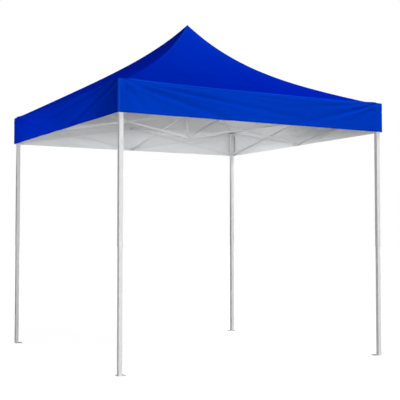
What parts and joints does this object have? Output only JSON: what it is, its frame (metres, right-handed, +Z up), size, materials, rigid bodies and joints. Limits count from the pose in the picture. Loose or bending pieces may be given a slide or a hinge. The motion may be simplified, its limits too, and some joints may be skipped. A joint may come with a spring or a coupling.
{
  "type": "pop up canopy",
  "caption": "Square pop up canopy with a peaked blue fabric roof, short valances, a folding scissor frame and telescopic white legs.",
  "frame": {"origin": "on the ground, under the middle of the canopy", "axes": "+Z up through the peak, -Y towards the front side, +X towards the right side seen from the front"},
  "size_m": [2.92, 2.92, 3.48],
  "materials": {
    "cover_cloth": "coated woven polyester, satin",
    "leg_paint": "white powder coat",
    "bar_paint": "white powder coat",
    "casting": "light grey moulded nylon",
    "button_steel": "zinc plated"
  },
  "bodies": {
    "hub": {"upper_hub": "casting", "canopy_cover": "cover_cloth"},
    "lower_hub": {"lower_hub": "leg_paint"},
    "peak_pole": {"peak_pole": "leg_paint"},
    "arm_upper_right": {"arm_upper_right": "bar_paint"},
    "arm_lower_right": {"arm_lower_right": "bar_paint"},
    "mid_low_right": {"mid_low_right": "casting"},
    "mid_high_right": {"mid_high_right": "casting"},
    "rising_bar_right_a": {"rising_bar_right_a": "bar_paint"},
    "falling_bar_right_a": {"falling_bar_right_a": "bar_paint"},
    "rising_bar_right_b": {"rising_bar_right_b": "bar_paint"},
    "falling_bar_right_b": {"falling_bar_right_b": "bar_paint"},
    "arm_upper_rear": {"arm_upper_rear": "bar_paint"},
    "arm_lower_rear": {"arm_lower_rear": "bar_paint"},
    "mid_low_rear": {"mid_low_rear": "casting"},
    "mid_high_rear": {"mid_high_rear": "casting"},
    "rising_bar_rear_a": {"rising_bar_rear_a": "bar_paint"},
    "falling_bar_rear_a": {"falling_bar_rear_a": "bar_paint"},
    "rising_bar_rear_b": {"rising_bar_rear_b": "bar_paint"},
    "falling_bar_rear_b": {"falling_bar_rear_b": "bar_paint"},
    "arm_upper_left": {"arm_upper_left": "bar_paint"},
    "arm_lower_left": {"arm_lower_left": "bar_paint"},
    "mid_low_left": {"mid_low_left": "casting"},
    "mid_high_left": {"mid_high_left": "casting"},
    "rising_bar_left_a": {"rising_bar_left_a": "bar_paint"},
    "falling_bar_left_a": {"falling_bar_left_a": "bar_paint"},
    "rising_bar_left_b": {"rising_bar_left_b": "bar_paint"},
    "falling_bar_left_b": {"falling_bar_left_b": "bar_paint"},
    "arm_upper_front": {"arm_upper_front": "bar_paint"},
    "arm_lower_front": {"arm_lower_front": "bar_paint"},
    "mid_low_front": {"mid_low_front": "casting"},
    "mid_high_front": {"mid_high_front": "casting"},
    "rising_bar_front_a": {"rising_bar_front_a": "bar_paint"},
    "falling_bar_front_a": {"falling_bar_front_a": "bar_paint"},
    "rising_bar_front_b": {"rising_bar_front_b": "bar_paint"},
    "falling_bar_front_b": {"falling_bar_front_b": "bar_paint"},
    "leg_rear_right": {"outer_leg_rear_right": "leg_paint", "leg_bracket_rear_right": "casting"},
    "slider_rear_right": {"slider_rear_right": "casting"},
    "slider_lock_rear_right": {"slider_lock_rear_right": "button_steel"},
    "inner_leg_rear_right": {"inner_leg_rear_right": "leg_paint"},
    "snap_button_rear_right": {"snap_button_rear_right": "button_steel"},
    "leg_rear_left": {"outer_leg_rear_left": "leg_paint", "leg_bracket_rear_left": "casting"},
    "slider_rear_left": {"slider_rear_left": "casting"},
    "slider_lock_rear_left": {"slider_lock_rear_left": "button_steel"},
    "inner_leg_rear_left": {"inner_leg_rear_left": "leg_paint"},
    "snap_button_rear_left": {"snap_button_rear_left": "button_steel"},
    "leg_front_left": {"outer_leg_front_left": "leg_paint", "leg_bracket_front_left": "casting"},
    "slider_front_left": {"slider_front_left": "casting"},
    "slider_lock_front_left": {"slider_lock_front_left": "button_steel"},
    "inner_leg_front_left": {"inner_leg_front_left": "leg_paint"},
    "snap_button_front_left": {"snap_button_front_left": "button_steel"},
    "leg_front_right": {"outer_leg_front_right": "leg_paint", "leg_bracket_front_right": "casting"},
    "slider_front_right": {"slider_front_right": "casting"},
    "slider_lock_front_right": {"slider_lock_front_right": "button_steel"},
    "inner_leg_front_right": {"inner_leg_front_right": "leg_paint"},
    "snap_button_front_right": {"snap_button_front_right": "button_steel"}
  },
  "joints": [
    {"name": "canopy_fold", "type": "hinge", "parent": "hub", "child": "arm_upper_right", "pos_m": [0.03, 0, 2.505], "axis": [0, 1, 0], "range_deg": [0, 77], "deforming": ["canopy_cover"]},
    {"name": "arm_lower_turn_right", "type": "hinge", "parent": "arm_upper_right", "child": "arm_lower_right", "pos_m": [0.7075, 0, 2.385], "axis": [0, 1, 0], "range_deg": [-154.2, 0]},
    {"name": "mid_low_turn_right", "type": "hinge", "parent": "arm_upper_right", "child": "mid_low_right", "pos_m": [1.385, 0, 2.265], "axis": [0, 1, 0], "range_deg": [-77.2, 0]},
    {"name": "mid_high_turn_right", "type": "hinge", "parent": "arm_lower_right", "child": "mid_high_right", "pos_m": [1.385, 0, 2.505], "axis": [0, 1, 0], "range_deg": [0, 77.2]},
    {"name": "arm_upper_turn_rear", "type": "hinge", "parent": "hub", "child": "arm_upper_rear", "pos_m": [0, 0.03, 2.505], "axis": [-1, 0, 0], "range_deg": [0, 77.2]},
    {"name": "arm_lower_turn_rear", "type": "hinge", "parent": "arm_upper_rear", "child": "arm_lower_rear", "pos_m": [0, 0.7075, 2.385], "axis": [-1, 0, 0], "range_deg": [-154.2, 0]},
    {"name": "mid_low_turn_rear", "type": "hinge", "parent": "arm_upper_rear", "child": "mid_low_rear", "pos_m": [0, 1.385, 2.265], "axis": [-1, 0, 0], "range_deg": [-77.2, 0]},
    {"name": "mid_high_turn_rear", "type": "hinge", "parent": "arm_lower_rear", "child": "mid_high_rear", "pos_m": [0, 1.385, 2.505], "axis": [-1, 0, 0], "range_deg": [0, 77.2]},
    {"name": "arm_upper_turn_left", "type": "hinge", "parent": "hub", "child": "arm_upper_left", "pos_m": [-0.03, 0, 2.505], "axis": [0, -1, 0], "range_deg": [0, 77.2]},
    {"name": "arm_lower_turn_left", "type": "hinge", "parent": "arm_upper_left", "child": "arm_lower_left", "pos_m": [-0.7075, 0, 2.385], "axis": [0, -1, 0], "range_deg": [-154.2, 0]},
    {"name": "mid_low_turn_left", "type": "hinge", "parent": "arm_upper_left", "child": "mid_low_left", "pos_m": [-1.385, 0, 2.265], "axis": [0, -1, 0], "range_deg": [-77.2, 0]},
    {"name": "mid_high_turn_left", "type": "hinge", "parent": "arm_lower_left", "child": "mid_high_left", "pos_m": [-1.385, 0, 2.505], "axis": [0, -1, 0], "range_deg": [0, 77.2]},
    {"name": "arm_upper_turn_front", "type": "hinge", "parent": "hub", "child": "arm_upper_front", "pos_m": [0, -0.03, 2.505], "axis": [1, 0, 0], "range_deg": [0, 77.2]},
    {"name": "arm_lower_turn_front", "type": "hinge", "parent": "arm_upper_front", "child": "arm_lower_front", "pos_m": [0, -0.7075, 2.385], "axis": [1, 0, 0], "range_deg": [-154.2, 0]},
    {"name": "mid_low_turn_front", "type": "hinge", "parent": "arm_upper_front", "child": "mid_low_front", "pos_m": [0, -1.385, 2.265], "axis": [1, 0, 0], "range_deg": [-77.2, 0]},
    {"name": "mid_high_turn_front", "type": "hinge", "parent": "arm_lower_front", "child": "mid_high_front", "pos_m": [0, -1.385, 2.505], "axis": [1, 0, 0], "range_deg": [0, 77.2]},
    {"name": "lower_hub_turn", "type": "hinge", "parent": "arm_lower_right", "child": "lower_hub", "pos_m": [0.03, 0, 2.265], "axis": [0, 1, 0], "range_deg": [0, 77.2]},
    {"name": "peak_pole_slide", "type": "slide", "parent": "lower_hub", "child": "peak_pole", "axis": [0, 0, 1], "range_m": [0, 0.253]},
    {"name": "rising_turn_right_a", "type": "hinge", "parent": "mid_low_right", "child": "rising_bar_right_a", "pos_m": [1.419, 0.022, 2.265], "axis": [1, 0, 0], "range_deg": [0, 77.2]},
    {"name": "falling_turn_right_a", "type": "hinge", "parent": "rising_bar_right_a", "child": "falling_bar_right_a", "pos_m": [1.419, 0.6995, 2.385], "axis": [1, 0, 0], "range_deg": [-154.2, 0]},
    {"name": "leg_turn_rear_right", "type": "hinge", "parent": "rising_bar_right_a", "child": "leg_rear_right", "pos_m": [1.419, 1.377, 2.505], "axis": [1, 0, 0], "range_deg": [-77.2, 0]},
    {"name": "slider_turn_rear_right", "type": "hinge", "parent": "falling_bar_right_a", "child": "slider_rear_right", "pos_m": [1.419, 1.377, 2.265], "axis": [1, 0, 0], "range_deg": [0, 77.2]},
    {"name": "rising_turn_right_b", "type": "hinge", "parent": "mid_low_right", "child": "rising_bar_right_b", "pos_m": [1.419, -0.022, 2.265], "axis": [-1, 0, 0], "range_deg": [0, 77.2]},
    {"name": "falling_turn_right_b", "type": "hinge", "parent": "rising_bar_right_b", "child": "falling_bar_right_b", "pos_m": [1.419, -0.6995, 2.385], "axis": [-1, 0, 0], "range_deg": [-154.2, 0]},
    {"name": "leg_turn_front_right", "type": "hinge", "parent": "rising_bar_right_b", "child": "leg_front_right", "pos_m": [1.419, -1.377, 2.505], "axis": [-1, 0, 0], "range_deg": [-77.2, 0]},
    {"name": "slider_turn_front_right", "type": "hinge", "parent": "falling_bar_right_b", "child": "slider_front_right", "pos_m": [1.419, -1.377, 2.265], "axis": [-1, 0, 0], "range_deg": [0, 77.2]},
    {"name": "rising_turn_rear_a", "type": "hinge", "parent": "mid_low_rear", "child": "rising_bar_rear_a", "pos_m": [-0.022, 1.419, 2.265], "axis": [0, 1, 0], "range_deg": [0, 77.2]},
    {"name": "falling_turn_rear_a", "type": "hinge", "parent": "rising_bar_rear_a", "child": "falling_bar_rear_a", "pos_m": [-0.6995, 1.419, 2.385], "axis": [0, 1, 0], "range_deg": [-154.2, 0]},
    {"name": "rising_turn_rear_b", "type": "hinge", "parent": "mid_low_rear", "child": "rising_bar_rear_b", "pos_m": [0.022, 1.419, 2.265], "axis": [0, -1, 0], "range_deg": [0, 77.2]},
    {"name": "falling_turn_rear_b", "type": "hinge", "parent": "rising_bar_rear_b", "child": "falling_bar_rear_b", "pos_m": [0.6995, 1.419, 2.385], "axis": [0, -1, 0], "range_deg": [-154.2, 0]},
    {"name": "rising_turn_left_a", "type": "hinge", "parent": "mid_low_left", "child": "rising_bar_left_a", "pos_m": [-1.419, -0.022, 2.265], "axis": [-1, 0, 0], "range_deg": [0, 77.2]},
    {"name": "falling_turn_left_a", "type": "hinge", "parent": "rising_bar_left_a", "child": "falling_bar_left_a", "pos_m": [-1.419, -0.6995, 2.385], "axis": [-1, 0, 0], "range_deg": [-154.2, 0]},
    {"name": "leg_turn_front_left", "type": "hinge", "parent": "rising_bar_left_a", "child": "leg_front_left", "pos_m": [-1.419, -1.377, 2.505], "axis": [-1, 0, 0], "range_deg": [-77.2, 0]},
    {"name": "slider_turn_front_left", "type": "hinge", "parent": "falling_bar_left_a", "child": "slider_front_left", "pos_m": [-1.419, -1.377, 2.265], "axis": [-1, 0, 0], "range_deg": [0, 77.2]},
    {"name": "rising_turn_left_b", "type": "hinge", "parent": "mid_low_left", "child": "rising_bar_left_b", "pos_m": [-1.419, 0.022, 2.265], "axis": [1, 0, 0], "range_deg": [0, 77.2]},
    {"name": "falling_turn_left_b", "type": "hinge", "parent": "rising_bar_left_b", "child": "falling_bar_left_b", "pos_m": [-1.419, 0.6995, 2.385], "axis": [1, 0, 0], "range_deg": [-154.2, 0]},
    {"name": "leg_turn_rear_left", "type": "hinge", "parent": "rising_bar_left_b", "child": "leg_rear_left", "pos_m": [-1.419, 1.377, 2.505], "axis": [1, 0, 0], "range_deg": [-77.2, 0]},
    {"name": "slider_turn_rear_left", "type": "hinge", "parent": "falling_bar_left_b", "child": "slider_rear_left", "pos_m": [-1.419, 1.377, 2.265], "axis": [1, 0, 0], "range_deg": [0, 77.2]},
    {"name": "rising_turn_front_a", "type": "hinge", "parent": "mid_low_front", "child": "rising_bar_front_a", "pos_m": [0.022, -1.419, 2.265], "axis": [0, -1, 0], "range_deg": [0, 77.2]},
    {"name": "falling_turn_front_a", "type": "hinge", "parent": "rising_bar_front_a", "child": "falling_bar_front_a", "pos_m": [0.6995, -1.419, 2.385], "axis": [0, -1, 0], "range_deg": [-154.2, 0]},
    {"name": "rising_turn_front_b", "type": "hinge", "parent": "mid_low_front", "child": "rising_bar_front_b", "pos_m": [-0.022, -1.419, 2.265], "axis": [0, 1, 0], "range_deg": [0, 77.2]},
    {"name": "falling_turn_front_b", "type": "hinge", "parent": "rising_bar_front_b", "child": "falling_bar_front_b", "pos_m": [-0.6995, -1.419, 2.385], "axis": [0, 1, 0], "range_deg": [-154.2, 0]},
    {"name": "leg_slide_rear_right", "type": "slide", "parent": "leg_rear_right", "child": "inner_leg_rear_right", "axis": [0, 0, 1], "range_m": [0, 0.87]},
    {"name": "slider_lock_rear_right", "type": "slide", "parent": "slider_rear_right", "child": "slider_lock_rear_right", "axis": [1, 0, 0], "range_m": [-0.006, 0]},
    {"name": "snap_button_rear_right", "type": "slide", "parent": "inner_leg_rear_right", "child": "snap_button_rear_right", "axis": [0, -1, 0], "range_m": [-0.006, 0]},
    {"name": "leg_slide_rear_left", "type": "slide", "parent": "leg_rear_left", "child": "inner_leg_rear_left", "axis": [0, 0, 1], "range_m": [0, 0.87]},
    {"name": "slider_lock_rear_left", "type": "slide", "parent": "slider_rear_left", "child": "slider_lock_rear_left", "axis": [0, 1, 0], "range_m": [-0.006, 0]},
    {"name": "snap_button_rear_left", "type": "slide", "parent": "inner_leg_rear_left", "child": "snap_button_rear_left", "axis": [1, 0, 0], "range_m": [-0.006, 0]},
    {"name": "leg_slide_front_left", "type": "slide", "parent": "leg_front_left", "child": "inner_leg_front_left", "axis": [0, 0, 1], "range_m": [0, 0.87]},
    {"name": "slider_lock_front_left", "type": "slide", "parent": "slider_front_left", "child": "slider_lock_front_left", "axis": [-1, 0, 0], "range_m": [-0.006, 0]},
    {"name": "snap_button_front_left", "type": "slide", "parent": "inner_leg_front_left", "child": "snap_button_front_left", "axis": [0, 1, 0], "range_m": [-0.006, 0]},
    {"name": "leg_slide_front_right", "type": "slide", "parent": "leg_front_right", "child": "inner_leg_front_right", "axis": [0, 0, 1], "range_m": [0, 0.87]},
    {"name": "slider_lock_front_right", "type": "slide", "parent": "slider_front_right", "child": "slider_lock_front_right", "axis": [0, -1, 0], "range_m": [-0.006, 0]},
    {"name": "snap_button_front_right", "type": "slide", "parent": "inner_leg_front_right", "child": "snap_button_front_right", "axis": [-1, 0, 0], "range_m": [-0.006, 0]}
  ],
  "couplings": [
    {"joint": "arm_lower_turn_right", "follows": "canopy_fold", "ratio": -2},
    {"joint": "mid_low_turn_right", "follows": "canopy_fold", "ratio": -1},
    {"joint": "mid_high_turn_right", "follows": "canopy_fold", "ratio": 1},
    {"joint": "arm_upper_turn_rear", "follows": "canopy_fold", "ratio": 1},
    {"joint": "arm_lower_turn_rear", "follows": "canopy_fold", "ratio": -2},
    {"joint": "mid_low_turn_rear", "follows": "canopy_fold", "ratio": -1},
    {"joint": "mid_high_turn_rear", "follows": "canopy_fold", "ratio": 1},
    {"joint": "arm_upper_turn_left", "follows": "canopy_fold", "ratio": 1},
    {"joint": "arm_lower_turn_left", "follows": "canopy_fold", "ratio": -2},
    {"joint": "mid_low_turn_left", "follows": "canopy_fold", "ratio": -1},
    {"joint": "mid_high_turn_left", "follows": "canopy_fold", "ratio": 1},
    {"joint": "arm_upper_turn_front", "follows": "canopy_fold", "ratio": 1},
    {"joint": "arm_lower_turn_front", "follows": "canopy_fold", "ratio": -2},
    {"joint": "mid_low_turn_front", "follows": "canopy_fold", "ratio": -1},
    {"joint": "mid_high_turn_front", "follows": "canopy_fold", "ratio": 1},
    {"joint": "lower_hub_turn", "follows": "canopy_fold", "ratio": 1},
    {"joint": "peak_pole_slide", "follows": "canopy_fold", "m_per_rad": 0.18751},
    {"joint": "rising_turn_right_a", "follows": "canopy_fold", "ratio": 1},
    {"joint": "falling_turn_right_a", "follows": "canopy_fold", "ratio": -2},
    {"joint": "leg_turn_rear_right", "follows": "canopy_fold", "ratio": -1},
    {"joint": "slider_turn_rear_right", "follows": "canopy_fold", "ratio": 1},
    {"joint": "rising_turn_right_b", "follows": "canopy_fold", "ratio": 1},
    {"joint": "falling_turn_right_b", "follows": "canopy_fold", "ratio": -2},
    {"joint": "leg_turn_front_right", "follows": "canopy_fold", "ratio": -1},
    {"joint": "slider_turn_front_right", "follows": "canopy_fold", "ratio": 1},
    {"joint": "rising_turn_rear_a", "follows": "canopy_fold", "ratio": 1},
    {"joint": "falling_turn_rear_a", "follows": "canopy_fold", "ratio": -2},
    {"joint": "rising_turn_rear_b", "follows": "canopy_fold", "ratio": 1},
    {"joint": "falling_turn_rear_b", "follows": "canopy_fold", "ratio": -2},
    {"joint": "rising_turn_left_a", "follows": "canopy_fold", "ratio": 1},
    {"joint": "falling_turn_left_a", "follows": "canopy_fold", "ratio": -2},
    {"joint": "leg_turn_front_left", "follows": "canopy_fold", "ratio": -1},
    {"joint": "slider_turn_front_left", "follows": "canopy_fold", "ratio": 1},
    {"joint": "rising_turn_left_b", "follows": "canopy_fold", "ratio": 1},
    {"joint": "falling_turn_left_b", "follows": "canopy_fold", "ratio": -2},
    {"joint": "leg_turn_rear_left", "follows": "canopy_fold", "ratio": -1},
    {"joint": "slider_turn_rear_left", "follows": "canopy_fold", "ratio": 1},
    {"joint": "rising_turn_front_a", "follows": "canopy_fold", "ratio": 1},
    {"joint": "falling_turn_front_a", "follows": "canopy_fold", "ratio": -2},
    {"joint": "rising_turn_front_b", "follows": "canopy_fold", "ratio": 1},
    {"joint": "falling_turn_front_b", "follows": "canopy_fold", "ratio": -2}
  ]
}
